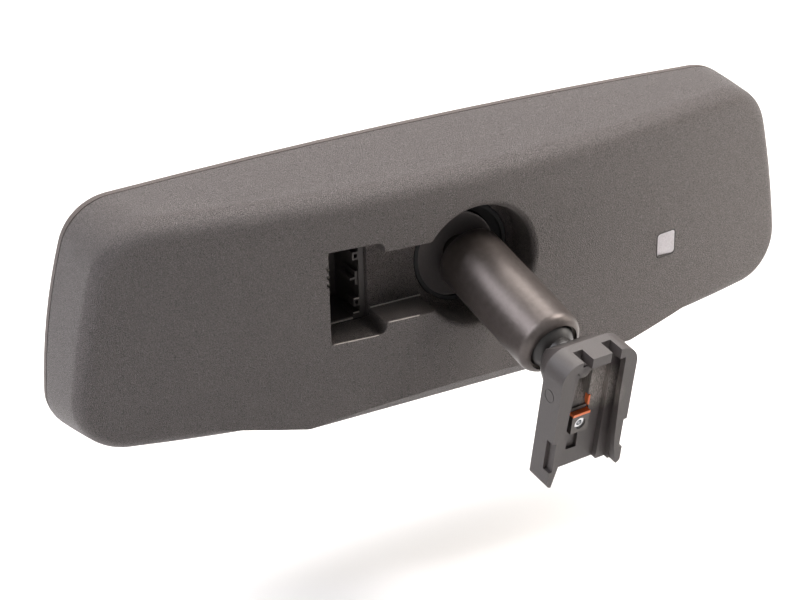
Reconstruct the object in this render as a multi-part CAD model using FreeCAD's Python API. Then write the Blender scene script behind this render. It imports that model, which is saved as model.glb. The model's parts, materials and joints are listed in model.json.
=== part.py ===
import FreeCAD, Part
import math
import os
from FreeCAD import Rotation, Vector

# Interior rearview mirror with automatic dimming: a glass-fronted head on a double-ball arm,
# and a die-cast foot that slides over a metal button on the windshield.
# Working frame, in millimetres: X along the head, +Y out of its back towards the windshield,
# +Z up, y = 0 where the rear housing meets the front bezel, x = z = 0 on the arm's hole.
# Every piece is moved to the row frame, whose origin is in the foot's channel, on export.

# ---- head: outline at the parting line (first of a pair) and at FORM_DEPTH behind it (second)
FORM_DEPTH = 40.0
TOP_Z = 35.23
TOP_DRAFT = 0.070
TOP_CURVE = (0.000198, -0.00015)
SIDE_X = 126.34
SIDE_DRAFT = 0.111
SIDE_LEAN = 0.2075
SIDE_CURVE = (0.002664, 0.00058)
BOTTOM_Z = -45.5
BOTTOM_DRAFT = 0.110
BOTTOM_CURVE = 0.00022
TOP_CORNER_R = (17.87, 23.95)
BOTTOM_CORNER_R = (14.83, 18.75)
BACK_Y = 38.2
BACK_ARC_R = 466.4
BACK_EDGE_R = 5.73
WALL = 2.2

# ---- chin: the deeper middle of the lower edge, cut off by a sloping facet at the back
CHIN_FLAT = 58.5
CHIN_ROOT = 81.0
CHIN_Z = -49.96
CHIN_DRAFT = 0.20
CHIN_LIFT = 2.6
CHIN_TOP_Z = -20.0
FACET_Y = 34.3
FACET_SLOPE = 1.22

# ---- back face features
HOLE_R = 19.51
HOLE_LIP_R = 1.8
POT_WALL = 1.8
POT_Y = 12.5
POCKET_X = (32.6, 50.7)
POCKET_Z = (-15.45, 14.95)
POCKET_CORNER_R = 2.2
POCKET_NOTCH_Z = (4.3, 6.9, 9.5)
POCKET_LIP_R = 0.4
WELL_X = 33.0
CHANNEL_Z = (-11.75, 11.6)
CHANNEL_Y = 25.5
FLOOR_T = 2.0
LEDGE_R = 16.75
TRAY_WALL = 1.6
SENSOR_X = -73.26
SENSOR_Z = -11.97
SENSOR_W = 7.64
SENSOR_H = 8.28
SENSOR_RIM = 1.2

# ---- bezel and glass
BEZEL_FRONT_Y = -5.2
BEZEL_ROUND = 3.8
BEZEL_WALL = 3.8
BEZEL_LIP = 5.2
TONGUE_Y = 3.6
TONGUE_INSET = (2.45, 3.65)
SEAM = 0.4
GLASS_GAP = 0.3
GLASS_T = 2.2
CELL_GAP = 0.2
GLASS_FRONT_Y = -4.3
GLASS_LOW_Z = -37.4
KEY_X = 26.0
KEY_Z = -43.0
KEY_W = 17.0
KEY_H = 5.4
KEY_CLEAR = 0.3
KEY_TRAVEL = 0.6
SWITCH_TOP_Y = -0.4
GLARE_LENS_R = 2.5
LAMP_X = 11.0
LAMP_R = 1.1
LENS_CLEAR = 0.1

# ---- boards and bracket inside the head
PAD_Y = (0.5, 1.2)
CARRIER_Y = (1.2, 3.0)
BOARD_Y = (4.2, 5.8)
BOARD_X = (-82.0, 66.0)
BOARD_Z = (-32.0, 27.0)
BOARD_TAB = (40.0, -45.3)
BRACKET_Y = (8.0, 10.6)
BRACKET_HALF = (32.4, 24.0)
BRACKET_SCREW = (27.0, 18.5)
BOSS_R = 3.4
DISH_R = 16.4
DISH_HOLE_R = 12.8
DISH_Y = 25.5
DISH_T = 1.2
DISH_BOWL_R = 23.0

# ---- connector header in the pocket
SHROUD_X = (33.3, 50.4)
SHROUD_Z = (-14.95, 14.45)
SHROUD_TOP_Y = 24.0
SHROUD_WALL = 1.8
SHROUD_THIN = 1.0
LUG_Z = (-9.5, 6.2)
PIN_PITCH = 2.54
PIN_HALF = 0.32

# ---- double-ball arm
HEAD_BALL = Vector(-1.28, 31.61, -1.59)
ARM_YAW = -5.106
ARM_DROOP = -16.976
BALL_R = 8.6
LINER_R = (8.65, 9.35)
SEAT_R = 9.40
TUBE_R = 10.88
TUBE_BORE_R = 9.45
MOUTH_R = 8.41
MOUTH_Z = 5.1
END_ROUND = 3.6
BALL_SPAN = 38.6
NECK_R = 4.7
CUP_NOSE_R = 5.2
CUP_FLANGE = 9.5
CUP_BACK = 11.5
SPRING_R = 7.0
SPRING_WIRE_R = 1.1
SPRING_TURNS = 4

# ---- windshield foot, in its own frame: u across, v towards the windshield, w up its slope
FOOT_YAW = 5.71
FOOT_PITCH = -10.55
FOOT_HALF = 13.95
FOOT_V = (17.62, 26.34)
FOOT_W = (-34.15, 10.6)
FOOT_CORNER = 6.7
FLOOR_V = 19.75
FLOOR_HALF = 8.2
LEDGE_V = 21.75
LIP_V = 24.35
LIP_EDGE = ((9.2, 7.1), (9.3, -6.5), (10.2, -23.0), (10.7, -27.1), (12.6, -35.0))
SLOT_HALF = 11.6
STOP_W = 7.1
TONGUE_HALF = 3.5
TONGUE_SLOT = 7.0
SIDE_NOTCH_W = (-28.2, -17.4)
BLOCK_V = 21.3
BLOCK_W = -17.8
BLOCK_HALF = 3.2
SCREW_R = 2.0
KEEPER_T = 0.9
KEEPER_ARM = ((-3.5, -2.8), (-12.6, -9.0))
PIT_EDGE = ((2.8, -12.4), (-2.8, -12.4), (-3.0, 0.4), (1.9, -1.6))
PIT_FLOOR = ((-13.0, 19.3), (-1.0, 13.8))
FLARE = ((8.2, 9.2), (8.9, 9.7), (9.9, 11.7), (11.2, 14.6), (12.6, 17.62), (12.6, 18.2))
ROOF_SLOPE = 0.75
EJECTOR = (21.4, -2.4, 2.2)


def box(x, y, z):
    """A box from three (low, high) pairs."""
    return Part.makeBox(x[1] - x[0], y[1] - y[0], z[1] - z[0], Vector(x[0], y[0], z[0]))


def rod(x, z, r, y):
    """A cylinder along Y from y[0] to y[1]."""
    return Part.makeCylinder(r, y[1] - y[0], Vector(x, y[0], z), Vector(0, 1, 0))


def plate(points, y):
    """A flat polygon in X, Z, given its thickness along Y."""
    ring = [Vector(x, y[0], z) for x, z in points]
    return Part.Face(Part.makePolygon(ring + ring[:1])).extrude(Vector(0, y[1] - y[0], 0))


def edges_along_y(shape, keep=lambda p: True):
    """The edges that run mostly front to back, at places that keep() accepts."""
    found = []
    for edge in shape.Edges:
        ends = [v.Point for v in edge.Vertexes]
        if len(ends) == 2:
            run = ends[1] - ends[0]
            if abs(run.y) > 0.8 * run.Length > 0 and keep((ends[0] + ends[1]) * 0.5):
                found.append(edge)
    return found


def rounded_box(x, y, z, r):
    """A box whose edges along Y are rounded."""
    solid = box(x, y, z)
    return solid.makeFillet(r, edges_along_y(solid))


def pill(x, z, w, h, y):
    """A bar along Y with a stadium section."""
    half = w / 2 - h / 2
    ends = [rod(x - half, z, h / 2, y), rod(x + half, z, h / 2, y)]
    return box((x - half, x + half), y, (z - h / 2, z + h / 2)).fuse(ends).removeSplitter()


def revolve(profile, centre, axis):
    """Turn a closed (radius, height) profile about an axis through centre."""
    ring = [Vector(r, 0, h) for r, h in profile]
    face = Part.Face(Part.makePolygon(ring + ring[:1]))
    solid = face.revolve(Vector(0, 0, 0), Vector(0, 0, 1), 360)
    return aim(solid, centre, axis)


def aim(solid, centre, axis):
    """Take a solid made about +Z to centre, with its axis turned to axis."""
    return move(solid, FreeCAD.Placement(centre, Rotation(Vector(0, 0, 1), axis)))


def move(solid, placement):
    """A copy of the solid, carried by the placement."""
    solid = solid.copy()
    solid.Placement = placement.multiply(solid.Placement)
    return solid


# ---------------------------------------------------------------- head shells

def at_depth(pair, y):
    """A value that changes evenly from the parting line to FORM_DEPTH."""
    return pair[0] + (pair[1] - pair[0]) * max(y, 0.0) / FORM_DEPTH


def head_outline(y, inset, level=None):
    """Four edges of the head's section at depth y; the bottom is straight where a level is given."""
    back = max(y, 0.0)

    def top(x):
        return TOP_Z - inset - TOP_DRAFT * back - at_depth(TOP_CURVE, y) * x * x

    def side(z):
        return SIDE_X - inset - SIDE_DRAFT * back - SIDE_LEAN * z - at_depth(SIDE_CURVE, y) * z * z

    def bottom(x):
        if level is not None:
            return level
        return BOTTOM_Z + inset + BOTTOM_DRAFT * back + BOTTOM_CURVE * x * x

    high = corner_of(side, top)
    low = corner_of(side, bottom)
    middle = (high.z + low.z) / 2

    def arc(start, x, z, end):
        return Part.Arc(Vector(start[0], y, start[1]), Vector(x, y, z), Vector(end[0], y, end[1])).toShape()

    roof = arc((-high.x, high.z), 0, top(0), (high.x, high.z))
    right = arc((high.x, high.z), side(middle), middle, (low.x, low.z))
    if level is None:
        base = arc((low.x, low.z), 0, bottom(0), (-low.x, low.z))
    else:
        base = Part.makeLine(Vector(low.x, y, level), Vector(-low.x, y, level))
    left = arc((-low.x, low.z), -side(middle), middle, (-high.x, high.z))
    return Part.Wire([roof, right, base, left])


def corner_of(side, level):
    """Where x = side(z) meets z = level(x)."""
    x = side(level(SIDE_X))
    for _ in range(8):
        x = side(level(x))
    return Vector(x, 0, level(x))


def chin_wire(y, inset):
    """The chin's section at depth y: its sloping ends run on up inside the head."""
    back = max(y, 0.0)
    low = CHIN_Z + inset + CHIN_DRAFT * back
    rise = BOTTOM_Z + inset + BOTTOM_DRAFT * back + BOTTOM_CURVE * CHIN_ROOT ** 2 - low
    rise += CHIN_LIFT * back / FORM_DEPTH
    far = CHIN_ROOT + (CHIN_ROOT - CHIN_FLAT)
    half = [(CHIN_FLAT - inset, low), (far - inset, low + 2 * rise), (far - inset, CHIN_TOP_Z)]
    ring = [Vector(x, y, z) for x, z in half]
    ring += [Vector(-x, y, z) for x, z in reversed(half)]
    return Part.makePolygon(ring + ring[:1])


def crown(inset):
    """The back face is part of a wide upright cylinder, so the head is deepest in the middle."""
    r = BACK_ARC_R - inset
    return Part.makeCylinder(r, 200, Vector(0, BACK_Y - BACK_ARC_R, -100))


def facet_wedge(inset):
    """Everything below the sloping facet that ends the chin at the back."""
    lift = inset * math.hypot(1, FACET_SLOPE)
    level = CHIN_Z + CHIN_DRAFT * FACET_Y + lift

    def point(y):
        return Vector(-150, y, level + FACET_SLOPE * (y - FACET_Y))

    ring = [point(FACET_Y - 20), point(FACET_Y + 20), Vector(-150, FACET_Y + 20, -120),
            Vector(-150, FACET_Y - 20, -120)]
    return Part.Face(Part.makePolygon(ring + ring[:1])).extrude(Vector(300, 0, 0))


def round_corners(solid, radii, inset, keep):
    """Round the drafted edges that keep() accepts, with a radius that grows with depth."""
    edges = edges_along_y(solid, keep)
    first = edges[0].valueAt(edges[0].FirstParameter).y
    last = edges[0].valueAt(edges[0].LastParameter).y
    return solid.makeFillet(at_depth(radii, first) - inset, at_depth(radii, last) - inset, edges)


def tapered(inset, y):
    """The drafted head between two depths, with rounded corners; and the drafted chin."""
    body = Part.makeLoft([head_outline(y[0], inset), head_outline(y[1], inset)], True, True)
    body = round_corners(body, TOP_CORNER_R, inset, lambda p: p.z > 0)
    body = round_corners(body, BOTTOM_CORNER_R, inset, lambda p: p.z < -20)
    chin = Part.makeLoft([chin_wire(y[0], inset), chin_wire(y[1], inset)], True, True)
    return body, chin


def head_form(inset, front):
    """The housing's body: drafted outline, crowned back with a rounded edge, and its chin."""
    body, chin = tapered(inset, (front, FORM_DEPTH))
    body = body.common(crown(inset))
    rim = [e for e in body.Edges if e.BoundBox.YMin > 15]
    body = body.makeFillet(BACK_EDGE_R - inset, rim)
    body = body.fuse(chin.common(crown(inset)))
    return body.cut(facet_wedge(inset)).removeSplitter()


def rear_housing():
    """The moulded back shell with its arm pot, wire channel, connector pocket and sensor window."""
    shell = head_form(0, SEAM).cut(head_form(WALL, SEAM - 1))
    far = FORM_DEPTH
    pot = rod(0, 0, HOLE_R + POT_WALL, (POT_Y, far))
    tray = box((0, POCKET_X[1] + TRAY_WALL), (CHANNEL_Y - FLOOR_T, far),
               (POCKET_Z[0] - TRAY_WALL, POCKET_Z[1] + TRAY_WALL))
    frame = sensor_block(SENSOR_RIM, (18, far), 1.8)
    bosses = [rod(x, z, BOSS_R, (BRACKET_Y[1], far)) for x, z in bracket_screw_places()]
    inside = crown(WALL / 2)
    shell = shell.fuse([s.common(inside) for s in [pot, tray, frame] + bosses])
    pocket = box(POCKET_X, (0, far), POCKET_Z)
    pocket = pocket.makeFillet(POCKET_CORNER_R, edges_along_y(pocket, lambda p: p.x < WELL_X))
    shell = shell.cut([
        rod(0, 0, HOLE_R, (CHANNEL_Y, far)),
        rod(0, 0, LEDGE_R, (0, CHANNEL_Y + 1)),
        rod(0, 0, HOLE_R, (0, CHANNEL_Y - FLOOR_T)),
        box((0, POCKET_X[0] + 1), (CHANNEL_Y, far), CHANNEL_Z),
        pocket.common(box((0, 60), (CHANNEL_Y, far), (-20, 20))),
        pocket.common(box((WELL_X, 60), (0, far), (-20, 20))),
        sensor_block(0, (10, far), 1.2),
    ])
    notches = [box((POCKET_X[1] - 1, POCKET_X[1] + 0.7), (BACK_Y - 5, far), (z - 0.7, z + 0.7))
               for z in POCKET_NOTCH_Z]
    pilots = [rod(x, z, 1.25, (0, 24)) for x, z in bracket_screw_places()]
    shell = shell.cut(notches + pilots)
    shell = shell.makeFillet(HOLE_LIP_R, [e for e in shell.Edges if is_hole_rim(e)])
    return shell.makeFillet(POCKET_LIP_R, [e for e in shell.Edges if is_pocket_rim(e)]).removeSplitter()


def sensor_block(rim, y, corner):
    """A rounded bar along Y with the sensor window's section, wider by rim on every side."""
    return rounded_box((SENSOR_X - SENSOR_W / 2 - rim, SENSOR_X + SENSOR_W / 2 + rim), y,
                       (SENSOR_Z - SENSOR_H / 2 - rim, SENSOR_Z + SENSOR_H / 2 + rim), corner)


def is_hole_rim(edge):
    """True for the edges where the arm's hole meets the back face."""
    middle = edge.valueAt((edge.FirstParameter + edge.LastParameter) / 2)
    return edge.BoundBox.YMin > BACK_Y - 2 and abs(math.hypot(middle.x, middle.z) - HOLE_R) < 0.05


def is_pocket_rim(edge):
    """True for the long straight-walled edges of the channel and the pocket on the back face."""
    middle = edge.valueAt((edge.FirstParameter + edge.LastParameter) / 2)
    off_face = abs(middle.y - back_y(middle.x))
    inside = 20.6 < middle.x < POCKET_X[1] - 1 and abs(middle.z) < 16
    return off_face < 0.05 and inside and edge.Length > 1.5


def flat_form(inset, y, level=None):
    """A flat sheet with the head's outline at the parting line, set in by inset."""
    sheet = Part.Face(head_outline(0, inset, level)).extrude(Vector(0, y[1] - y[0], 0))
    sheet.translate(Vector(0, y[0], 0))
    sheet = sheet.makeFillet(TOP_CORNER_R[0] - inset, edges_along_y(sheet, lambda p: p.z > 0))
    return sheet.makeFillet(BOTTOM_CORNER_R[0] - inset, edges_along_y(sheet, lambda p: p.z < -20))


def glass_sheet(y, clear=0.0):
    """The glass's outline as a sheet: the head's outline inside the bezel, straight above the keys."""
    return flat_form(BEZEL_WALL + GLASS_GAP - clear, y, GLASS_LOW_Z - clear)


def rounded_front(solid):
    """The bezel's outer front edge, rounded over."""
    front = [e for e in solid.Edges if e.BoundBox.YMax < BEZEL_FRONT_Y + 0.01]
    return solid.makeFillet(BEZEL_ROUND, front)


def front_bezel():
    """The ring that frames the glass, with the chin band that carries the keys."""
    chin = Part.Face(chin_wire(0, 0)).extrude(Vector(0, -BEZEL_FRONT_Y, 0))
    chin.translate(Vector(0, BEZEL_FRONT_Y, 0))
    ring = rounded_front(flat_form(0, (BEZEL_FRONT_Y, 0)))
    ring = ring.fuse(rounded_front(chin)).removeSplitter()
    outer = tapered(TONGUE_INSET[0], (SEAM - 1, FORM_DEPTH))
    inner = tapered(TONGUE_INSET[1], (SEAM - 1, FORM_DEPTH))
    tongue = outer[0].fuse(outer[1]).cut(inner[0].fuse(inner[1]))
    ring = ring.fuse(tongue.common(box((-150, 150), (SEAM - 1, TONGUE_Y), (-60, 60))))
    ring = ring.cut(glass_sheet((GLASS_FRONT_Y, 4), GLASS_GAP))
    ring = ring.cut(glass_sheet((BEZEL_FRONT_Y - 1, 0), BEZEL_WALL - BEZEL_LIP))
    for sign in (-1, 1):
        ring = ring.cut(pill(sign * KEY_X, KEY_Z, KEY_W + 2 * KEY_CLEAR, KEY_H + 2 * KEY_CLEAR, (-9, 5)))
    ring = ring.cut([rod(0, KEY_Z, GLARE_LENS_R + LENS_CLEAR, (-9, 5)),
                     rod(LAMP_X, KEY_Z, LAMP_R + LENS_CLEAR, (-9, 5))])
    return ring.removeSplitter()


# ---------------------------------------------------------------- dimming glass

def cell_parts():
    """The electrochromic cell: two glasses, the seal between them, the gel, and its bus clips."""
    y0 = GLASS_FRONT_Y
    y1 = y0 + GLASS_T
    y2 = y1 + CELL_GAP
    y3 = y2 + GLASS_T
    front = glass_sheet((y0, y1))
    gel = glass_sheet((y1, y2), -3.0)
    seal = glass_sheet((y1, y2)).cut(gel)
    back = glass_sheet((y2, y3), -1.0)
    clips = []
    for z in (TOP_Z - BEZEL_WALL - 3.4, GLASS_LOW_Z + 1.0):
        clips.append(box((-60, 60), (y3, y3 + 0.3), (z, z + 1.6)))
    return {"front_glass": front, "cell_gel": gel, "cell_seal": seal, "rear_glass": back,
            "bus_clips": Part.makeCompound(clips)}


def carrier_plate():
    """The plastic plate behind the glass, with pegs that stand the circuit board off it."""
    sheet = glass_sheet(CARRIER_Y, -1.6)
    sheet = sheet.cut(box((-70, 70), (0, 4), (GLASS_LOW_Z - 2, GLASS_LOW_Z + 4.5)))
    pegs = [rod(x, z, 2.6, (CARRIER_Y[1], BOARD_Y[0])) for x, z in board_screw_places()]
    sheet = sheet.fuse(pegs)
    pilots = [rod(x, z, 0.9, (CARRIER_Y[0], BOARD_Y[0])) for x, z in board_screw_places()]
    return sheet.cut(pilots).removeSplitter()


def board_screw_places():
    """Four screw places, one near each corner of the board's wide part."""
    return [(x, z) for x in (-76, 60) for z in (-27, 22)]


def circuit_board():
    """A board that reaches down into the chin behind the keys."""
    half, low = BOARD_TAB
    main = rounded_box(BOARD_X, BOARD_Y, BOARD_Z, 3)
    tab = rounded_box((-half, half), BOARD_Y, (low, BOARD_Z[0] + 4), 1.5)
    board = main.fuse(tab).removeSplitter()
    holes = [rod(x, z, 1.2, (0, 9)) for x, z in board_screw_places()]
    return board.cut(holes)


def board_screws():
    """Four pan-head screws that hold the board to the carrier's pegs."""
    top = BOARD_Y[1]
    group = []
    for x, z in board_screw_places():
        head = rod(x, z, 2.0, (top, top + 1.4))
        group.append(head.fuse(rod(x, z, 0.9, (CARRIER_Y[0] + 0.4, top))).removeSplitter())
    return Part.makeCompound(group)


def board_chips():
    """The larger components on the board's back: controller, driver, regulator, capacitors."""
    top = BOARD_Y[1]
    sizes = [(-52, -20, 10, 10, 1.4), (-52, 4, 7, 5, 1.6), (-36, 16, 6, 6, 1.8), (-60, 20, 5, 8, 1.2)]
    chips = [box((x - w / 2, x + w / 2), (top, top + t), (z - h / 2, z + h / 2)) for x, z, w, h, t in sizes]
    cans = [rod(x, z, 3.15, (top, top + 7.0)) for x, z in ((-42, -8), (-42, -30 + 4))]
    return Part.makeCompound(chips + cans)


def tact_switches():
    """Two small push switches under the keys, on the board's front."""
    group = []
    for sign in (-1, 1):
        body = box((sign * KEY_X - 3, sign * KEY_X + 3), (0.6, BOARD_Y[0]), (KEY_Z - 2.3, KEY_Z + 2.3))
        group.append(body.fuse(rod(sign * KEY_X, KEY_Z, 1.4, (SWITCH_TOP_Y, 0.6))).removeSplitter())
    return Part.makeCompound(group)


def key(sign):
    """A pill-shaped key that slides in the bezel, and the plunger that reaches for its switch."""
    x = sign * KEY_X
    cap = pill(x, KEY_Z, KEY_W, KEY_H, (BEZEL_FRONT_Y - 0.6, -1.9))
    front = [e for e in cap.Edges if e.BoundBox.YMax < BEZEL_FRONT_Y - 0.59]
    cap = cap.makeFillet(0.5, front)
    return cap.fuse(rod(x, KEY_Z, 1.4, (-2.0, SWITCH_TOP_Y - 0.1 - KEY_TRAVEL))).removeSplitter()


# ---------------------------------------------------------------- connector

def connector_shroud():
    """The header's open-backed shroud on the board, with latch lugs on its inner side wall."""
    x, z, top = SHROUD_X, SHROUD_Z, SHROUD_TOP_Y
    wall = x[0] + SHROUD_WALL
    shroud = box(x, (BOARD_Y[1], top), z)
    cavity = box((wall, x[1] - SHROUD_THIN), (BOARD_Y[1] + 1.6, top + 1),
                 (z[0] + SHROUD_THIN, z[1] - SHROUD_THIN))
    shroud = shroud.cut(cavity)
    details = []
    for place in LUG_Z:
        lug = box((wall - 0.2, wall + 2.0), (top - 4.0, top), (place - 1.3, place + 1.3))
        details.append(lug.cut(box((wall + 0.3, wall + 1.4), (top - 5, top + 1), (place - 0.7, place + 0.7))))
    middle = (LUG_Z[0] + LUG_Z[1]) / 2
    for dx, dz in ((2.6, 0.35), (0.9, 2.3)):
        details.append(box((wall - 0.2, wall + dx), (top - 8, top - 0.8), (middle - dz, middle + dz)))
    step = z[0] + SHROUD_THIN
    details.append(box((wall - 0.2, wall + 2.3), (top - 8, top), (step, step + 1.0)))
    return shroud.fuse(details).removeSplitter().cut(connector_pins())


def connector_pins():
    """Two rows of square pins inside the shroud."""
    pins = []
    for row in range(2):
        for n in range(8):
            x = 41.4 + PIN_PITCH * row
            z = -8.2 + PIN_PITCH * n
            pins.append(box((x - PIN_HALF, x + PIN_HALF), (BOARD_Y[1] + 0.6, 16),
                            (z - PIN_HALF, z + PIN_HALF)))
    return Part.makeCompound(pins)


# ---------------------------------------------------------------- sensors

def back_y(x):
    """Where the crowned back face lies at x."""
    return BACK_Y - BACK_ARC_R + math.sqrt(BACK_ARC_R ** 2 - x * x)


def ambient_lens():
    """The milky light pipe that looks at the sky through the back of the housing."""
    face = back_y(SENSOR_X) - 0.5
    block = sensor_block(-LENS_CLEAR, (face - 7, face), 1.1)
    pipe = rounded_box((SENSOR_X - 2.6, SENSOR_X + 2.6), (8.0, face - 6.5),
                       (SENSOR_Z - 2.6, SENSOR_Z + 2.6), 1.0)
    return block.fuse(pipe).removeSplitter()


def small_parts():
    """Light sensors, their lenses, and the indicator lamp."""
    top = BOARD_Y[1]
    front = BOARD_Y[0]
    return {
        "ambient_sensor": box((SENSOR_X - 2, SENSOR_X + 2), (top, top + 1.4), (SENSOR_Z - 2, SENSOR_Z + 2)),
        "glare_sensor": box((-1.8, 1.8), (front - 1.2, front), (KEY_Z - 1.8, KEY_Z + 1.8)),
        "indicator_led": box((LAMP_X - 0.8, LAMP_X + 0.8), (front - 0.8, front), (KEY_Z - 0.6, KEY_Z + 0.6)),
        "glare_lens": dome(0, GLARE_LENS_R, 2.8),
        "indicator_lens": dome(LAMP_X, LAMP_R, 3.3),
    }


def dome(x, r, back):
    """A short light pipe whose front stands slightly crowned in the bezel's chin."""
    bar = rod(x, KEY_Z, r, (BEZEL_FRONT_Y - 0.3, back))
    front = [e for e in bar.Edges if e.BoundBox.YMax < BEZEL_FRONT_Y - 0.29]
    return bar.makeFillet(0.4, front)


# ---------------------------------------------------------------- bracket and ball stud

def mount_bracket():
    """The steel plate that carries the ball stud, with the dished collar seen through the hole."""
    hx, hz = BRACKET_HALF
    base = rounded_box((-hx, hx), BRACKET_Y, (-hz, hz), 5)
    wall = rod(0, 0, DISH_R, (BRACKET_Y[1], DISH_Y)).cut(rod(0, 0, DISH_R - DISH_T, (0, 40)))
    centre = Vector(0, DISH_Y + math.sqrt(DISH_BOWL_R ** 2 - DISH_R ** 2), 0)
    bowl = Part.makeSphere(DISH_BOWL_R + DISH_T, centre).cut(Part.makeSphere(DISH_BOWL_R, centre))
    collar = rod(0, 0, DISH_R, (BRACKET_Y[1], DISH_Y)).common(bowl)
    bracket = base.fuse([wall, collar]).cut(rod(0, 0, DISH_HOLE_R, (BRACKET_Y[1], 40)))
    bracket = bracket.cut(rod(HEAD_BALL.x, HEAD_BALL.z, 4.2, (0, 15)))
    holes = [rod(x, z, 1.7, (0, 20)) for x, z in bracket_screw_places()]
    return bracket.cut(holes).removeSplitter()


def bracket_screw_places():
    """Four screw places, one near each corner of the bracket."""
    return [(sx * BRACKET_SCREW[0], sz * BRACKET_SCREW[1]) for sx in (-1, 1) for sz in (-1, 1)]


def bracket_screws():
    """Four thread-forming screws from the bracket into the housing's bosses."""
    group = []
    for x, z in bracket_screw_places():
        head = rod(x, z, 2.9, (BRACKET_Y[0] - 1.9, BRACKET_Y[0]))
        group.append(head.fuse(rod(x, z, 1.25, (BRACKET_Y[0], 20))).removeSplitter())
    return Part.makeCompound(group)


def ball_and_neck(profile_end):
    """A ball at the origin with a neck leaving along +Z, then the profile given."""
    reach = math.sqrt(BALL_R ** 2 - NECK_R ** 2)
    ball = Part.makeSphere(BALL_R)
    neck = Part.makeCylinder(NECK_R, 4.0, Vector(0, 0, reach - 0.8))
    return ball.fuse([neck, profile_end]).removeSplitter()


def ball_stud():
    """The head's steel ball, its neck and shoulder, and the riveted end in the bracket."""
    base = HEAD_BALL.y - BRACKET_Y[1]
    shank = Part.makeCylinder(NECK_R, base - 8, Vector(0, 0, 8))
    shoulder = Part.makeCylinder(7.0, 2.0, Vector(0, 0, base - 2.0))
    pin = Part.makeCylinder(4.2, BRACKET_Y[1] - BRACKET_Y[0], Vector(0, 0, base))
    rivet = Part.makeCylinder(6.2, 1.5, Vector(0, 0, HEAD_BALL.y - BRACKET_Y[0]))
    solid = ball_and_neck(shank.fuse([shoulder, pin, rivet]))
    return aim(solid, HEAD_BALL, Vector(0, -1, 0))


# ---------------------------------------------------------------- arm

def arm_axis():
    """Unit vector from the head's ball to the foot's ball."""
    yaw = math.radians(ARM_YAW)
    droop = math.radians(ARM_DROOP)
    return Vector(math.sin(yaw) * math.cos(droop), math.cos(yaw) * math.cos(droop), math.sin(droop))


def foot_ball():
    """Centre of the foot's ball."""
    return HEAD_BALL + arm_axis() * BALL_SPAN


def arm_tube():
    """The arm: a tube whose ends are rolled over the balls."""
    outer = Part.makeCylinder(TUBE_R, BALL_SPAN + 2 * MOUTH_Z, Vector(0, 0, -MOUTH_Z))
    rims = [e for e in outer.Edges if len(e.Vertexes) == 1 and e.BoundBox.ZLength < 0.1]
    outer = outer.makeFillet(END_ROUND, rims)
    bore = Part.makeCylinder(TUBE_BORE_R, BALL_SPAN, Vector(0, 0, 0))
    seats = [Part.makeSphere(SEAT_R, Vector(0, 0, z)) for z in (0, BALL_SPAN)]
    mouths = [Part.makeCylinder(MOUTH_R, BALL_SPAN + 20, Vector(0, 0, -10))]
    return aim(outer.cut([bore] + seats + mouths), HEAD_BALL, arm_axis())


def liner(centre, outward):
    """A plastic ball seat: a band of a thin sphere between the ball and the rolled tube end."""
    shell = Part.makeSphere(LINER_R[1]).cut(Part.makeSphere(LINER_R[0]))
    band = Part.makeCylinder(20, 7.6, Vector(0, 0, -3.9))
    return aim(shell.common(band), centre, outward)


def ball_cup(centre, inward):
    """The cup that a spring pushes against the back of a ball."""
    flange = Part.makeCylinder(TUBE_BORE_R - 0.1, CUP_BACK - CUP_FLANGE, Vector(0, 0, CUP_FLANGE))
    nose = Part.makeCylinder(CUP_NOSE_R, CUP_FLANGE - 5.0, Vector(0, 0, 5.0))
    recess = Part.makeSphere(BALL_R + 0.05)
    bore = Part.makeCylinder(3.0, 20)
    return aim(flange.fuse(nose).cut([recess, bore]).removeSplitter(), centre, inward)


def arm_spring():
    """The compression spring that presses both cups against the balls."""
    low = CUP_BACK + SPRING_WIRE_R + 0.05
    span = BALL_SPAN - 2 * low
    path = Part.makeHelix(span / SPRING_TURNS, span, SPRING_R)
    ring = Part.Wire(Part.makeCircle(SPRING_WIRE_R, Vector(SPRING_R, 0, 0), Vector(0, 1, 0)))
    coil = Part.Wire(path).makePipeShell([ring], True, True)
    coil.translate(Vector(0, 0, low))
    return aim(coil, HEAD_BALL, arm_axis())


# ---------------------------------------------------------------- windshield foot

def foot_rotation():
    """Columns are the foot's u, v and w directions in the working frame."""
    turn = Rotation(Vector(0, 0, 1), FOOT_YAW)
    lean = Rotation(Vector(1, 0, 0), FOOT_PITCH)
    return turn.multiply(lean)


def seat_foot(solid):
    """Take a solid from the foot's own frame, with its origin at the ball, to its place."""
    return move(solid, FreeCAD.Placement(foot_ball(), foot_rotation()))


def foot_outline(v):
    """The foot's outline across the windshield, square below and arched above, given its depth."""
    solid = box((-FOOT_HALF, FOOT_HALF), v, FOOT_W)
    solid = solid.makeFillet(FOOT_CORNER, edges_along_y(solid, lambda p: p.z > 0))
    return solid.makeFillet(1.5, edges_along_y(solid, lambda p: p.z < -30))


def foot_channel():
    """The room for the button: floor, undercuts and the mouth between the lips."""
    top = FOOT_V[1] + 1
    low = FOOT_W[0] - 1
    mouth = [(-u, w) for u, w in LIP_EDGE] + [(u, w) for u, w in reversed(LIP_EDGE)]
    return [
        box((-FLOOR_HALF, FLOOR_HALF), (FLOOR_V, top), (low, STOP_W)),
        box((-SLOT_HALF, SLOT_HALF), (LEDGE_V, LIP_V), (low, STOP_W - 1.4)),
        plate(mouth, (LIP_V - 1, top)),
    ]


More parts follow.
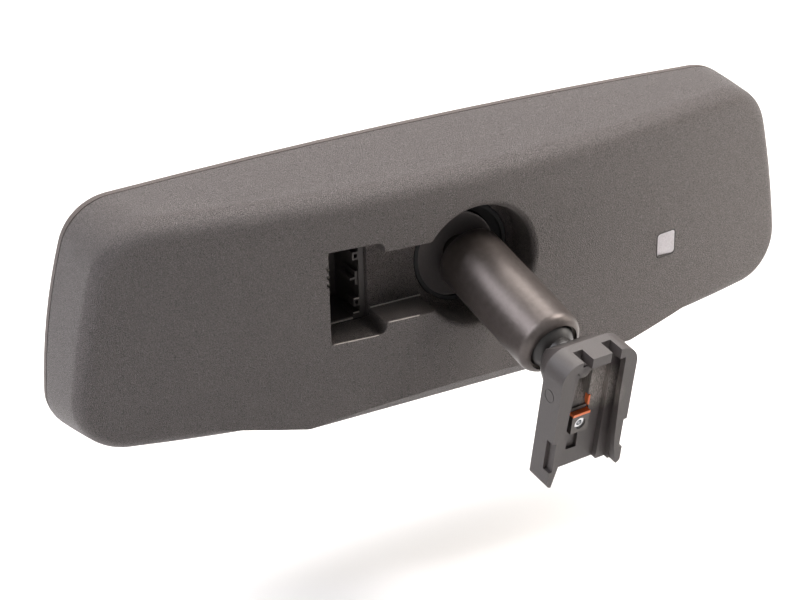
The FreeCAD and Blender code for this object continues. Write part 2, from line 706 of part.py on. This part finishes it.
def foot_details():
    """Side grooves, the slots beside the tongue, and the openings in the channel's floor."""
    v0, v1 = FOOT_V
    cuts = []
    for sign in (-1, 1):
        cuts.append(box(sorted((sign * (FOOT_HALF - 1.2), sign * 20)), (v1 - 3.0, v1 + 1), SIDE_NOTCH_W))
        cuts.append(box(sorted((sign * TONGUE_HALF, sign * TONGUE_SLOT)), (v0 + 3.2, v1 + 1),
                        (STOP_W - 1, FOOT_W[1] + 1)))
    reach = BLOCK_HALF + 0.1
    arm_u, arm_w = KEEPER_ARM
    cuts.append(box((-reach, reach), (v0 + 0.8, v1), (BLOCK_W - reach, BLOCK_W + reach + KEEPER_T)))
    cuts.append(box((arm_u[0] - 0.1, arm_u[1]), (v0 + 0.8, v1), (BLOCK_W + reach, arm_w[1] + 0.1)))
    cuts.append(plate([(2.8, -27.9), (-1.2, -28.1), (-1.0, -20.0), (2.2, -20.0)], (v0 + 1.0, v1)))
    (w_low, v_low), (w_high, v_high) = PIT_FLOOR
    ring = [Vector(-5, v_low, w_low), Vector(-5, v_high, w_high), Vector(-5, v_high, 2), Vector(-5, v1, 2),
            Vector(-5, v1, w_low)]
    wedge = Part.Face(Part.makePolygon(ring + ring[:1])).extrude(Vector(10, 0, 0))
    cuts.append(plate(PIT_EDGE, (v0 - 4, v1)).common(wedge))
    return cuts


def ejector_mark():
    """A shallow ring left by the mould's ejector pin on one side of the foot."""
    v, w, r = EJECTOR
    start = Vector(FOOT_HALF - 0.15, v, w)
    outer, inner = [Part.makeCylinder(rim, 1, start, Vector(1, 0, 0)) for rim in (r, r - 0.3)]
    return outer.cut(inner)


def flare_roof():
    """The wedge that keeps the flare's top below the arch, sloping down towards the ball."""
    v0, w1 = FOOT_V[0], FOOT_W[1]
    ring = [Vector(-20, v0, w1), Vector(-20, v0 - 12, w1 - 12 * ROOF_SLOPE), Vector(-20, v0 - 12, 30),
            Vector(-20, v0, 30)]
    return Part.Face(Part.makePolygon(ring + ring[:1])).extrude(Vector(40, 0, 0))


def mount_foot():
    """The die-cast foot: neck and ball, arched back plate, and the lipped channel for the button."""
    v0 = FOOT_V[0]
    body = foot_outline(FOOT_V).cut(foot_channel())
    neck = Part.makeCylinder(NECK_R, v0 - 6, Vector(0, 6, 0), Vector(0, 1, 0))
    flare = revolve([(0, FLARE[0][1])] + list(FLARE) + [(0, FLARE[-1][1])], Vector(0, 0, 0), Vector(0, 1, 0))
    flare = flare.common(foot_outline((5, v0 + 1))).cut(flare_roof())
    body = body.fuse([Part.makeSphere(BALL_R), neck, flare])
    body = body.cut(foot_details() + [ejector_mark()])
    boss = rod(0.4, 0.8, 2.0, (v0 - 1, FLOOR_V + 0.4))
    return seat_foot(body.fuse(boss).removeSplitter())


def foot_small_parts():
    """The set screw that locks the foot on its button, its steel block, and the orange keeper."""
    back = FOOT_V[0] + 0.9
    b = BLOCK_HALF
    block = box((-b, b), (back, BLOCK_V), (BLOCK_W - b, BLOCK_W + b))
    block = block.cut(rod(0, BLOCK_W, SCREW_R, (0, 40)))
    screw = rod(0, BLOCK_W, SCREW_R, (back, BLOCK_V - 0.5))
    screw = screw.cut(Part.makeCone(0.4, 1.0, 1.6, Vector(0, BLOCK_V - 2.1, BLOCK_W), Vector(0, 1, 0)))
    strip = box((-b, b), (back, BLOCK_V + 0.2), (BLOCK_W + b, BLOCK_W + b + KEEPER_T))
    arm_u, arm_w = KEEPER_ARM
    arm = box(arm_u, (back, FLOOR_V + 0.4), arm_w)
    link = box(arm_u, (back, FLOOR_V - 0.9), (BLOCK_W + b + 0.1, arm_w[0] + 1))
    keeper = strip.fuse([arm, link]).removeSplitter()
    return {"screw_block": seat_foot(block), "set_screw": seat_foot(screw), "screw_keeper": seat_foot(keeper)}


# ---------------------------------------------------------------- row frame and export

def row_origin():
    """Middle of the button's place in the foot's channel."""
    place = foot_rotation().multVec(Vector(0, LEDGE_V, -11.0))
    return foot_ball() + place


def all_parts():
    """Every named piece, in the working frame."""
    arm = arm_axis()
    parts = {
        "rear_housing": rear_housing(),
        "front_bezel": front_bezel(),
        "carrier_plate": carrier_plate(),
        "cell_pad": glass_sheet(PAD_Y, -5.0),
        "circuit_board": circuit_board(),
        "board_screws": board_screws(),
        "board_chips": board_chips(),
        "tact_switches": tact_switches(),
        "dim_key": key(1),
        "menu_key": key(-1),
        "connector_shroud": connector_shroud(),
        "connector_pins": connector_pins(),
        "ambient_lens": ambient_lens(),
        "mount_bracket": mount_bracket(),
        "bracket_screws": bracket_screws(),
        "ball_stud": ball_stud(),
        "arm_tube": arm_tube(),
        "head_ball_liner": liner(HEAD_BALL, arm * -1),
        "foot_ball_liner": liner(foot_ball(), arm),
        "head_ball_cup": ball_cup(HEAD_BALL, arm),
        "foot_ball_cup": ball_cup(foot_ball(), arm * -1),
        "arm_spring": arm_spring(),
        "mount_foot": mount_foot(),
    }
    parts.update(cell_parts())
    parts.update(small_parts())
    parts.update(foot_small_parts())
    return parts


def main():
    os.makedirs("parts", exist_ok=True)
    origin = row_origin()
    for name, shape in all_parts().items():
        moved = shape.copy()
        moved.translate(origin * -1)
        moved.exportStep("parts/" + name + ".step")
        print(name, len(moved.Solids), round(moved.Volume, 1), moved.isValid())


main()
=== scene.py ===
"""Interior rearview mirror, seen from behind: finishes, small detailed pieces, light and camera."""
import json
import math

import bmesh
import bpy
import numpy as np
from mathutils import Matrix, Vector


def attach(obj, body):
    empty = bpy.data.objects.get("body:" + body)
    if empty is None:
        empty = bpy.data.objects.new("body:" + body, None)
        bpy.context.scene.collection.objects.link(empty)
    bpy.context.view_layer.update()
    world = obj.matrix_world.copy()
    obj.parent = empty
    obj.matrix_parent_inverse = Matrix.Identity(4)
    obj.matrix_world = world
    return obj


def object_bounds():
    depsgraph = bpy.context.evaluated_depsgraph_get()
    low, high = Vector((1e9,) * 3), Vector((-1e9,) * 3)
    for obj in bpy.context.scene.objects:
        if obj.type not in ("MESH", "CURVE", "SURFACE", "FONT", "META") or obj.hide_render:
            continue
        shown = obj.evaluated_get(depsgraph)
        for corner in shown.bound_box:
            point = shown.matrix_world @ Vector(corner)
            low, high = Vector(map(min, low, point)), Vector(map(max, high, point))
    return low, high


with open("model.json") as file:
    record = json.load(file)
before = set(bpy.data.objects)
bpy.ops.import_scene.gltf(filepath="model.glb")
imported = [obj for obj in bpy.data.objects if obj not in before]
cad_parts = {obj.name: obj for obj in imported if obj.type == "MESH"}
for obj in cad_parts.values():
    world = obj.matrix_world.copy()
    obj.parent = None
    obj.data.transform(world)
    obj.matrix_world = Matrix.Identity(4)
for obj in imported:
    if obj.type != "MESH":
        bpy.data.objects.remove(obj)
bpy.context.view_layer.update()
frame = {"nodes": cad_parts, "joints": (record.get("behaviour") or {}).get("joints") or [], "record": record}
MM = 0.001

# The mirror head's own axes run along the frame's: X along the head, +Y out of its back, +Z up.
# Its zero is on the parting line in the middle of the arm's hole.
HEAD_BALL_MM = Vector((-1.28, 31.61, -1.59))
joint = {j["name"]: j for j in frame["joints"]}
HEAD = Vector(joint["head_tilt"]["pos_m"]) - HEAD_BALL_MM * MM


# ------------------------------------------------------------------ colours and node helpers

def linear(code):
    """An sRGB hex colour as linear RGBA."""
    parts = [int(code[i:i + 2], 16) / 255 for i in (1, 3, 5)]
    return [c / 12.92 if c <= 0.04045 else ((c + 0.055) / 1.055) ** 2.4 for c in parts] + [1.0]


def shifted(code, step):
    """A hex colour made lighter (or, with a negative step, darker) by step in each channel."""
    return "#" + "".join(f"{min(255, max(0, int(code[i:i + 2], 16) + step)):02x}" for i in (1, 3, 5))


def add(tree, kind, links=None, **settings):
    """Add a node. Settings are its properties, or its inputs' values by name (with _ for a space) or
    by number (i1); links maps its inputs to the sockets that feed them."""
    node = tree.nodes.new("ShaderNode" + kind)
    for name, value in settings.items():
        if hasattr(node, name) and name not in node.inputs:
            setattr(node, name, value)
        elif name[0] == "i" and name[1:].isdigit():
            node.inputs[int(name[1:])].default_value = value
        else:
            node.inputs[name.replace("_", " ")].default_value = value
    for name, source in (links or {}).items():
        tree.links.new(source, node.inputs[name])
    return node


def material(name):
    """An empty node material with one Principled shader; gives the tree and the shader."""
    made = bpy.data.materials.new(name)
    made.use_nodes = True
    tree = made.node_tree
    tree.nodes.clear()
    shader = tree.nodes.new("ShaderNodeBsdfPrincipled")
    output = tree.nodes.new("ShaderNodeOutputMaterial")
    tree.links.new(shader.outputs[0], output.inputs[0])
    return made, tree, shader


def scaled(tree, size_mm, height_mm=None):
    """Object coordinates divided so that one unit of a pattern is size_mm long, and height_mm along Z
    where that is given."""
    place = add(tree, "TexCoord").outputs["Object"]
    wide, tall = 1 / (size_mm * MM), 1 / ((height_mm or size_mm) * MM)
    return add(tree, "Mapping", {"Vector": place}, Scale=(wide, wide, tall)).outputs[0]


def noise(tree, size_mm, detail, height_mm=None):
    """A 0..1 value in soft lumps about size_mm across, with detail layers of finer lumps on them."""
    place = scaled(tree, size_mm, height_mm)
    return add(tree, "TexNoise", {"Vector": place}, Detail=detail).outputs[0]


def reach(tree, centre, full, none):
    """A value by distance from a point, in metres: 1 within full, falling to 0 at none."""
    place = add(tree, "TexCoord").outputs["Object"]
    away = add(tree, "VectorMath", {0: place}, operation="DISTANCE", i1=tuple(centre))
    return add(tree, "MapRange", {"Value": away.outputs["Value"]},
               From_Min=none, From_Max=full).outputs[0]


def ramp(tree, source, low, high, colours=("#000000", "#ffffff")):
    """Stretch low..high of a value over two colours. Noise keeps near 0.5, so the nearer the two stops
    are to that, the harder and stronger its specks."""
    node = add(tree, "ValToRGB", {"Fac": source})
    for stop, place, colour in zip(node.color_ramp.elements, (low, high), colours):
        stop.position = place
        stop.color = linear(colour)
    return node.outputs[0]


def band(tree, source, low, high):
    """Map a 0..1 value to low..high."""
    return add(tree, "MapRange", {"Value": source}, To_Min=low, To_Max=high).outputs[0]


def around(tree, source, middle, spread):
    """A 0..1 value turned into one that drifts by spread to either side of middle."""
    return band(tree, source, middle - spread, middle + spread)


def product(tree, one, other):
    """Two values multiplied."""
    return add(tree, "Math", {0: one, 1: other}, operation="MULTIPLY").outputs[0]


def finish_with(tree, shader, colour, rough):
    """Connect a colour, where it varies, and a roughness to the shader."""
    if colour is not None:
        tree.links.new(colour, shader.inputs["Base Color"])
    tree.links.new(rough, shader.inputs["Roughness"])


def bump(tree, shader, height, depth_mm, strength=1.0):
    """Raise the surface by height (0..1) times depth_mm."""
    node = add(tree, "Bump", {"Height": height}, Strength=strength, Distance=depth_mm * MM)
    tree.links.new(node.outputs[0], shader.inputs["Normal"])


# ------------------------------------------------------------------ materials

# The foot's paint begins 12.5 to 19 mm from its ball: nearer, it is dark, which is the bare neck and, over
# the flare beside the neck, painted shade.
NECK_BARE_AND_SHADE = (0.0125, 0.019)
# The middle of the rubbed patch on the floor of the foot's channel, in the frame's metres, and how
# far from there the rubbing is full and gone.
RUBBED_FLOOR = Vector((-0.0052, -0.0022, 0.005))
RUB_REACH = (0.0045, 0.0095)


def grained_plastic(name, shade, light_shade, grain_mm, depth_mm, rough):
    """PC-ABS moulded against a spark-eroded die: a fine pebble that scatters its sheen.
    The real grain is about 0.15 mm; it is drawn larger, at grain_mm, so that it shows. The pebble is
    fine noise plus cells 1.3 grains across, and the gloss drifts in clouds of 22 mm."""
    made, tree, shader = material(name)
    fine = noise(tree, grain_mm, 1.5)
    cells = add(tree, "TexVoronoi", {"Vector": scaled(tree, grain_mm * 1.3)}, feature="SMOOTH_F1")
    cloud = noise(tree, 22, 3.0)
    pebble = add(tree, "Math", {0: fine, 1: cells.outputs["Distance"]}, operation="ADD")
    finish_with(tree, shader, ramp(tree, fine, 0.36, 0.64, (shade, light_shade)),
                around(tree, cloud, rough, 0.04))
    shader.inputs["Specular IOR Level"].default_value = 0.45
    bump(tree, shader, pebble.outputs[0], depth_mm)
    return made


def smooth_plastic(name, shade, rough, speck_mm=3.0):
    """Moulded plastic against a plain die: gloss and colour drift faintly from speck to speck, and the
    surface rises by a few hundredths of a millimetre, with no grain."""
    made, tree, shader = material(name)
    cloud = noise(tree, speck_mm, 4.0)
    finish_with(tree, shader, ramp(tree, cloud, 0.35, 0.65, (shifted(shade, -6), shade)),
                around(tree, cloud, rough, 0.05))
    bump(tree, shader, cloud, 0.02, 0.4)
    return made


def painted_metal(name, shade, rough, peel_mm, depth_mm, metallic=0.0):
    """Baked powder paint over metal: satin, with the soft orange peel of paint, peel_mm across, and a
    tone that drifts in clouds of 9 mm."""
    made, tree, shader = material(name)
    shader.inputs["Metallic"].default_value = metallic
    cloud = noise(tree, 9, 4.0)
    finish_with(tree, shader, ramp(tree, cloud, 0.35, 0.65, (shifted(shade, -7), shade)),
                around(tree, cloud, rough, 0.04))
    bump(tree, shader, noise(tree, peel_mm, 2.0), depth_mm)
    return made


def cast_foot(name, paint, neck_and_flare_shade, worn):
    """Painted zinc casting, pitted at 0.6 mm, with a bare dark neck that is smooth and glossier; the same
    darkening reaches over the flare beside the neck, where it is painted shade. The channel's floor is
    rubbed grey, in streaks 0.9 mm wide and 14 mm tall, where the foot slides on and off its button."""
    made, tree, shader = material(name)
    # dark where the neck is bare, and painted shade where this reaches over the flare
    bare_neck_and_shade = reach(tree, joint["foot_tilt"]["pos_m"], *NECK_BARE_AND_SHADE)
    tracks = ramp(tree, noise(tree, 0.9, 3.0, height_mm=14.0), 0.3, 0.62)
    rubbed = product(tree, reach(tree, RUBBED_FLOOR, *RUB_REACH), tracks)
    grain = noise(tree, 0.6, 2.0)
    colour = ramp(tree, grain, 0.3, 0.7, (paint, shifted(paint, 14)))
    for amount, shade in ((rubbed, worn), (bare_neck_and_shade, neck_and_flare_shade)):
        mix = add(tree, "Mix", {0: amount}, data_type="RGBA")
        tree.links.new(colour, mix.inputs["A"])
        mix.inputs["B"].default_value = linear(shade)
        colour = mix.outputs["Result"]
    finish_with(tree, shader, colour, band(tree, bare_neck_and_shade, 0.46, 0.4))
    bump(tree, shader, product(tree, grain, band(tree, bare_neck_and_shade, 1.0, 0.0)), 0.05)
    return made


def bare_metal(name, shade, rough, grain_mm=0.5):
    """Plated or oiled steel: metallic, with fine uneven polish."""
    made, tree, shader = material(name)
    grain = noise(tree, grain_mm, 4.0)
    shader.inputs["Base Color"].default_value = linear(shade)
    shader.inputs["Metallic"].default_value = 1.0
    finish_with(tree, shader, None, around(tree, grain, rough, 0.08))
    bump(tree, shader, grain, 0.01, 0.5)
    return made


def clear_material(name, shade, ior, rough):
    """Glass, gel or clear plastic that light passes through, with a faint smear of gloss."""
    made, tree, shader = material(name)
    shader.inputs["Base Color"].default_value = linear(shade)
    shader.inputs["Transmission Weight"].default_value = 1.0
    shader.inputs["IOR"].default_value = ior
    finish_with(tree, shader, None, band(tree, noise(tree, 30, 3.0), rough, rough + 0.02))
    return made


def milky_plastic(name, shade):
    """Opal acrylic: light goes about 1.5 mm in and comes out soft."""
    made, tree, shader = material(name)
    cloud = noise(tree, 2.5, 3.0)
    shader.inputs["Subsurface Weight"].default_value = 0.35
    shader.inputs["Subsurface Radius"].default_value = (0.0015, 0.0015, 0.0015)
    finish_with(tree, shader, ramp(tree, cloud, 0.3, 0.7, ("#d3cfd3", shade)),
                band(tree, cloud, 0.28, 0.36))
    return made


# Each entry gives its maker the material's name, its colour or colours, and the numbers that the
# maker names. Lengths are in millimetres, and roughness runs from 0 to 1.
FINISH = {
    # the head's shell
    "housing": grained_plastic("grained PC-ABS housing", "#2c2829", "#a9a09d", 0.75, 0.9, 0.45),
    "bezel": grained_plastic("grained PC-ABS bezel", "#423b39", "#70655f", 0.75, 0.2, 0.5),
    # the dimming cell: two glasses, gel between them, seal, clips and tape
    "front_glass": clear_material("clear soda-lime glass", "#fbfdfd", 1.52, 0.0),
    "rear_glass": bare_metal("silvered rear glass", "#cfd3d6", 0.11, 30),
    "gel": clear_material("electrochromic gel", "#eef3f4", 1.43, 0.0),
    "seal": smooth_plastic("cured epoxy seal", "#262424", 0.4),
    "clip_metal": bare_metal("tinned bus clip", "#c9c5ba", 0.35),
    "foam": smooth_plastic("closed-cell foam tape", "#232324", 0.9, 0.8),
    # the carrier, the board and what sits on it
    "carrier": smooth_plastic("black ABS carrier", "#252323", 0.55),
    "board": smooth_plastic("green solder mask", "#1f4a2c", 0.3),
    "chips": smooth_plastic("moulded epoxy package", "#1b1b1c", 0.5),
    "screw_steel": bare_metal("zinc-plated steel screw", "#b9bab8", 0.32),
    "switch": smooth_plastic("black switch body", "#1e1d1d", 0.45),
    "key": smooth_plastic("satin black key", "#2b2929", 0.42),
    "connector": smooth_plastic("glass-filled PBT connector", "#4b4745", 0.5, 1.2),
    "pin_metal": bare_metal("dull tinned pin", "#6d6963", 0.5),
    # lenses and sensors
    "milky_lens": milky_plastic("opal acrylic light pipe", "#e6e2e6"),
    "smoked_lens": smooth_plastic("smoked polycarbonate lens", "#1a1718", 0.12),
    "green_lens": milky_plastic("translucent green lens", "#8fc79b"),
    "sensor": smooth_plastic("epoxy-covered sensor", "#2a2a2c", 0.25),
    # the arm: bracket, stud, tube, ball seats and spring
    "bracket_steel": painted_metal("black-coated steel bracket", "#121112", 0.75, 0.7, 0.015),
    "stud_steel": bare_metal("phosphated steel stud", "#6f6b68", 0.4),
    "arm_paint": painted_metal("satin painted arm tube", "#59524f", 0.35, 0.8, 0.03, 0.55),
    "liner": smooth_plastic("natural nylon ball seat", "#a9a39b", 0.5),
    "cup": smooth_plastic("natural acetal cup", "#bdb7ae", 0.4),
    "spring_steel": bare_metal("oiled spring wire", "#8f8f90", 0.35),
    # the foot and its screw block
    "foot_paint": cast_foot("painted zinc casting", "#413c3b", "#2c2928", "#a39c96"),
    "block_steel": bare_metal("dark steel block", "#5d5a58", 0.45),
    "set_screw": bare_metal("bright steel set screw", "#c3c4c6", 0.22),
    "orange": smooth_plastic("orange moulded keeper", "#ff8448", 0.4, 1.5),
    # the small pieces that are made here
    "collar": smooth_plastic("dark grey acetal collar", "#6f6a69", 0.5),
    # a pale bead on each rolled lip paints its highlight
    "lip": smooth_plastic("painted highlight on the housing's rolled lip", "#cdc5c0", 0.3),
    # pale beads on the channel floor's edge and the connector's edges paint their highlights
    "plate_edge_highlight": smooth_plastic("painted highlight on the channel floor's edge", "#f0ebe6", 0.3),
    "connector_edge_highlight": smooth_plastic("painted highlight on the connector's edges", "#c9c2bd", 0.3),
    # a dark seam round the lens paints shade below it and on its outer side
    "lens_seam_shade": smooth_plastic("dark seam of painted shade round the lens", "#332f2f", 0.6),
}


def dress_nodes():
    """Give every solid of the frame the material of its slot."""
    for row in frame["record"]["subparts"]:
        node = frame["nodes"][row["node"]]
        node.data.materials.clear()
        node.data.materials.append(FINISH[row["material_slot"]])


# ------------------------------------------------------------------ small pieces, in head millimetres

# The housing's back: how far out it stands in the middle, and the radius of its arch.
BACK_Y, BACK_ARC_R = 38.2, 466.4
# The dished collar: its rim's middle and radius, the neck's hole, how deep the dish is, its wall.
COLLAR_CENTRE = np.array([1.9, 25.1, -0.6])
COLLAR_R, NECK_HOLE_R, COLLAR_DEPTH, COLLAR_WALL = 14.0, 4.85, 4.3, 0.8
# The milky lens's middle and half size (X, Z), its corners, and the dark seam's shift down and outward,
# which puts more of the seam's painted shade below the lens and on its outer side.
LENS = np.array([-73.26, -11.97])
LENS_HALF = np.array([3.82, 4.14])
LENS_CORNER, SEAM_SHIFT = 1.1, -0.13
# The seam's section: distance out from the lens, height above the arched back.
SEAM_SECTION = np.array([[-0.1, -0.6], [-0.05, 0.03], [0.3, 0.05], [0.4, -0.6]])
# How many points go round the collar, the seam and a bead, and along the collar's dish and a bead.
COLLAR_SIDES, SEAM_SIDES, BEAD_SIDES = 72, 96, 12
COLLAR_STEPS, BEAD_STEPS = 18, 16
# The rolled lips' radius, the radius of the pale bead that paints a highlight along each lip, and how far
# the bead stands proud of the lip.
LIP_R, LIP_BEAD_R, LIP_PROUD = 0.4, 0.24, 0.03
# Pale beads that paint highlights along the rolled lips under the pocket and the channel: name, X from and
# to, Z.
LIPS = (("pocket_lip_highlight", 49.8, 35.2, -15.45), ("channel_lip_highlight", 31.8, 21.4, -11.75))
# Pale beads that paint highlights along straight edges: name, X from and to, Y, Z, bead radius, finish.
EDGES = (("floor_edge_highlight", 32.2, 14.6, 25.52, -11.62, 0.26, "plate_edge_highlight"),
         ("shroud_edge_highlight", 50.2, 37.6, 24.0, -14.62, 0.3, "connector_edge_highlight"),
         ("step_edge_highlight", 37.3, 35.3, 23.95, -12.95, 0.24, "connector_edge_highlight"),
         ("lug_edge_highlight", 37.0, 35.2, 23.95, -8.2, 0.24, "connector_edge_highlight"))


def back_y(x):
    """Depth of the housing's arched back: a circle of radius BACK_ARC_R across the head."""
    return BACK_Y - BACK_ARC_R + np.sqrt(BACK_ARC_R ** 2 - x ** 2)


def surface(name, grid, finish, caps, body="head"):
    """A closed skin over a grid of points (rows, round, xyz), in head millimetres; each row is a loop.
    With caps the first and last rows are filled; without, the last row joins the first."""
    rows, loop = grid.shape[:2]
    first = np.arange(rows - 1 if caps else rows)[:, None]
    step = np.arange(loop)[None, :]
    here, right = first * loop + step, first * loop + (step + 1) % loop
    up = ((first + 1) % rows) * loop
    faces = np.stack([here, right, up + (step + 1) % loop, up + step], -1).reshape(-1, 4).tolist()
    if caps:
        faces += [list(range(loop))[::-1], list(range((rows - 1) * loop, rows * loop))]
    mesh = bpy.data.meshes.new(name)
    mesh.from_pydata((np.array(HEAD) + grid.reshape(-1, 3) * MM).tolist(), [], faces)
    work = bmesh.new()
    work.from_mesh(mesh)
    bmesh.ops.recalc_face_normals(work, faces=work.faces)
    work.to_mesh(mesh)
    work.free()
    mesh.polygons.foreach_set("use_smooth", [True] * len(mesh.polygons))
    mesh.materials.append(FINISH[finish])
    piece = bpy.data.objects.new(name, mesh)
    bpy.context.scene.collection.objects.link(piece)
    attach(piece, body)


def bead(name, path, radius, finish):
    """A round bead: a circle of the given radius carried along a path, square to its run."""
    run = np.gradient(path, axis=0)
    run /= np.linalg.norm(run, axis=1)[:, None]
    side = np.cross(run, [0.0, 1.0, 0.0])
    side /= np.linalg.norm(side, axis=1)[:, None]
    over = np.cross(side, run)
    turn = np.linspace(0, 2 * np.pi, BEAD_SIDES, endpoint=False)
    grid = (path[:, None] + radius * (np.cos(turn)[None, :, None] * side[:, None]
                                      + np.sin(turn)[None, :, None] * over[:, None]))
    surface(name, grid, finish, caps=True)


def collar():
    """The dished collar round the ball's neck: depth falls with the square of the distance from its
    centre, from the rim to the neck's hole, while the centre slides over to the neck's own line; the
    underside follows COLLAR_WALL behind."""
    out = np.linspace(COLLAR_R, NECK_HOLE_R, COLLAR_STEPS)
    fall = COLLAR_DEPTH * (COLLAR_R ** 2 - out ** 2) / (COLLAR_R ** 2 - NECK_HOLE_R ** 2)
    radius = np.concatenate([out, out[::-1]])
    depth = np.concatenate([-fall, -fall[::-1] - COLLAR_WALL])
    turn = np.linspace(0, 2 * np.pi, COLLAR_SIDES, endpoint=False)[None, :]
    slide = ((COLLAR_R - radius) / (COLLAR_R - NECK_HOLE_R))[:, None]
    off = np.array(HEAD_BALL_MM) - COLLAR_CENTRE
    grid = np.stack([radius[:, None] * np.cos(turn) + slide * off[0], depth[:, None] + 0 * turn,
                     radius[:, None] * np.sin(turn) + slide * off[2]], -1)
    surface("collar", grid + COLLAR_CENTRE, "collar", caps=False)


def lens_shade_seam():
    """The thin dark seam round the milky lens, shifted by SEAM_SHIFT so that it paints a shade below the
    lens and on its outer side, as a recess would cast: SEAM_SECTION carried round the lens's rounded
    outline, which is a rectangle of corner centres plus a quarter turn about each."""
    turn = np.linspace(0, 2 * np.pi, SEAM_SIDES, endpoint=False)
    ways = np.stack([np.cos(turn), np.sin(turn)], -1)
    middle = np.sign(ways) * (LENS_HALF - LENS_CORNER)
    flat = LENS + SEAM_SHIFT + middle[:, None] + (LENS_CORNER + SEAM_SECTION[None, :, :1]) * ways[:, None]
    deep = back_y(flat[..., 0]) + SEAM_SECTION[None, :, 1]
    surface("lens_shade_seam", np.stack([flat[..., 0], deep, flat[..., 1]], -1), "lens_seam_shade", caps=False)


def channel_edges():
    """Pale beads that paint highlights on edges: on the rolled lips under the wire channel and the pocket,
    which follow the back's arch, and on the straight edges of the channel's floor and the connector. A lip's
    bead lies on the line through the middle of its roll, at 45 degrees."""
    inset = LIP_R - (LIP_R - LIP_BEAD_R + LIP_PROUD) / math.sqrt(2)
    for name, start, end, z in LIPS:
        x = np.linspace(start, end, BEAD_STEPS)
        path = np.stack([x, back_y(x) - inset, np.full(BEAD_STEPS, z - inset)], -1)
        bead(name, path, LIP_BEAD_R, "lip")
    for name, start, end, y, z, radius, finish in EDGES:
        x = np.linspace(start, end, BEAD_STEPS)
        path = np.stack([x, np.full(BEAD_STEPS, y), np.full(BEAD_STEPS, z)], -1)
        bead(name, path, radius, finish)


# ------------------------------------------------------------------ studio

# The camera looks at AIM_MM, in head millimetres, from DISTANCE metres away.
AZIMUTH = math.radians(27.73)
ELEVATION = math.radians(26.192)
ROLL = math.radians(-1.288)
DISTANCE = 0.70453
LENS_MM, SENSOR_MM = 97.245, 36.0
AIM_MM = Vector((8.307, 0.0, -25.906))

# The mirror hangs from its foot, and its head dips by up to 51 mm at the joints' limits.
HEAD_DIP = 0.052
FLOOR_HALF = 3.0
# The paper's own glow for the eye: its strength near the mirror and far off, and how many metres from
# the head it is still the near one and already the far one.
GLOW_NEAR, GLOW_FAR, GLOW_REACH = 0.22, 0.8, (0.4, 1.3)
# How bright the world is as a light, and to the eye.
WORLD_LIGHT, WORLD_SEEN = 0.06, 1.0
# Softboxes: name, place in metres from the head's middle, size in metres, watts, colour.
LAMPS = (("key", (-0.6, 0.12, 0.75), (0.4, 0.4), 9.8, "#fff8f2"),
         ("side fill", (0.68, -0.12, 0.6), (0.3, 0.6), 6.2, "#f6f7ff"),
         ("front fill", (-0.15, -0.45, 0.78), (0.7, 0.4), 8.4, "#fffaf6"),
         ("low fill", (-0.85, 0.3, 0.25), (0.4, 0.4), 2.4, "#fff6ec"))


def camera():
    """A long lens from behind the head, to its right and above."""
    away = Vector((math.sin(AZIMUTH) * math.cos(ELEVATION), math.cos(AZIMUTH) * math.cos(ELEVATION),
                   math.sin(ELEVATION)))
    right = Vector((0, 0, 1)).cross(away).normalized()
    up = away.cross(right)
    level = (math.cos(ROLL) * right + math.sin(ROLL) * up, math.cos(ROLL) * up - math.sin(ROLL) * right)
    turn = Matrix((level[0], level[1], away)).transposed()
    data = bpy.data.cameras.new("camera")
    data.sensor_width = SENSOR_MM
    data.lens = LENS_MM
    view = bpy.data.objects.new("camera", data)
    view.matrix_world = Matrix.Translation(HEAD + AIM_MM * MM + away * DISTANCE) @ turn.to_4x4()
    bpy.context.scene.collection.objects.link(view)
    bpy.context.scene.camera = view


def lamp(name, place, size, power, colour):
    """A softbox at place, aimed at the head's middle."""
    data = bpy.data.lights.new(name, "AREA")
    data.shape = "RECTANGLE"
    data.size, data.size_y = size
    data.energy = power
    data.color = linear(colour)[:3]
    light = bpy.data.objects.new(name, data)
    light.location = HEAD + Vector(place)
    light.rotation_euler = (-Vector(place)).to_track_quat("-Z", "Y").to_euler()
    bpy.context.scene.collection.objects.link(light)


def white_for_eye(tree):
    """1 for rays that the eye, a mirror or glass sends; 0 for the rays that carry light."""
    path = add(tree, "LightPath")
    seen = path.outputs["Is Camera Ray"]
    for kind in ("Is Glossy Ray", "Is Transmission Ray"):
        seen = add(tree, "Math", {0: seen, 1: path.outputs[kind]}, operation="MAXIMUM").outputs[0]
    return seen


def paper_floor():
    """A pale floor clear of the head's travel. Under the mirror the lamps make the paper white and
    its shadow shows; far off, where they fade, its glow for the eye makes up for them."""
    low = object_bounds()[0][2] - HEAD_DIP
    corners = [(x * FLOOR_HALF, y * FLOOR_HALF, low) for x, y in ((-1, -1), (1, -1), (1, 1), (-1, 1))]
    ground = bpy.data.meshes.new("floor")
    ground.from_pydata(corners, [], [(0, 1, 2, 3)])
    floor = bpy.data.objects.new("floor", ground)
    bpy.context.scene.collection.objects.link(floor)
    made, tree, shader = material("white paper floor")
    shader.inputs["Base Color"].default_value = linear("#f4f4f4")
    shader.inputs["Roughness"].default_value = 0.9
    shader.inputs["Emission Color"].default_value = (1, 1, 1, 1)
    glow = band(tree, reach(tree, HEAD, *GLOW_REACH), GLOW_FAR, GLOW_NEAR)
    tree.links.new(product(tree, white_for_eye(tree), glow), shader.inputs["Emission Strength"])
    ground.materials.append(made)


def pale_world():
    """White to the eye and in reflections, and hardly a light."""
    world = bpy.data.worlds.new("studio")
    bpy.context.scene.world = world
    world.use_nodes = True
    tree = world.node_tree
    tree.nodes.clear()
    sky = add(tree, "Background", {"Strength": band(tree, white_for_eye(tree), WORLD_LIGHT, WORLD_SEEN)})
    output = tree.nodes.new("ShaderNodeOutputWorld")
    tree.links.new(sky.outputs[0], output.inputs[0])


dress_nodes()
collar()
lens_shade_seam()
channel_edges()
camera()
paper_floor()
pale_world()
for row in LAMPS:
    lamp(*row)
bpy.context.scene.view_settings.view_transform = "Standard"
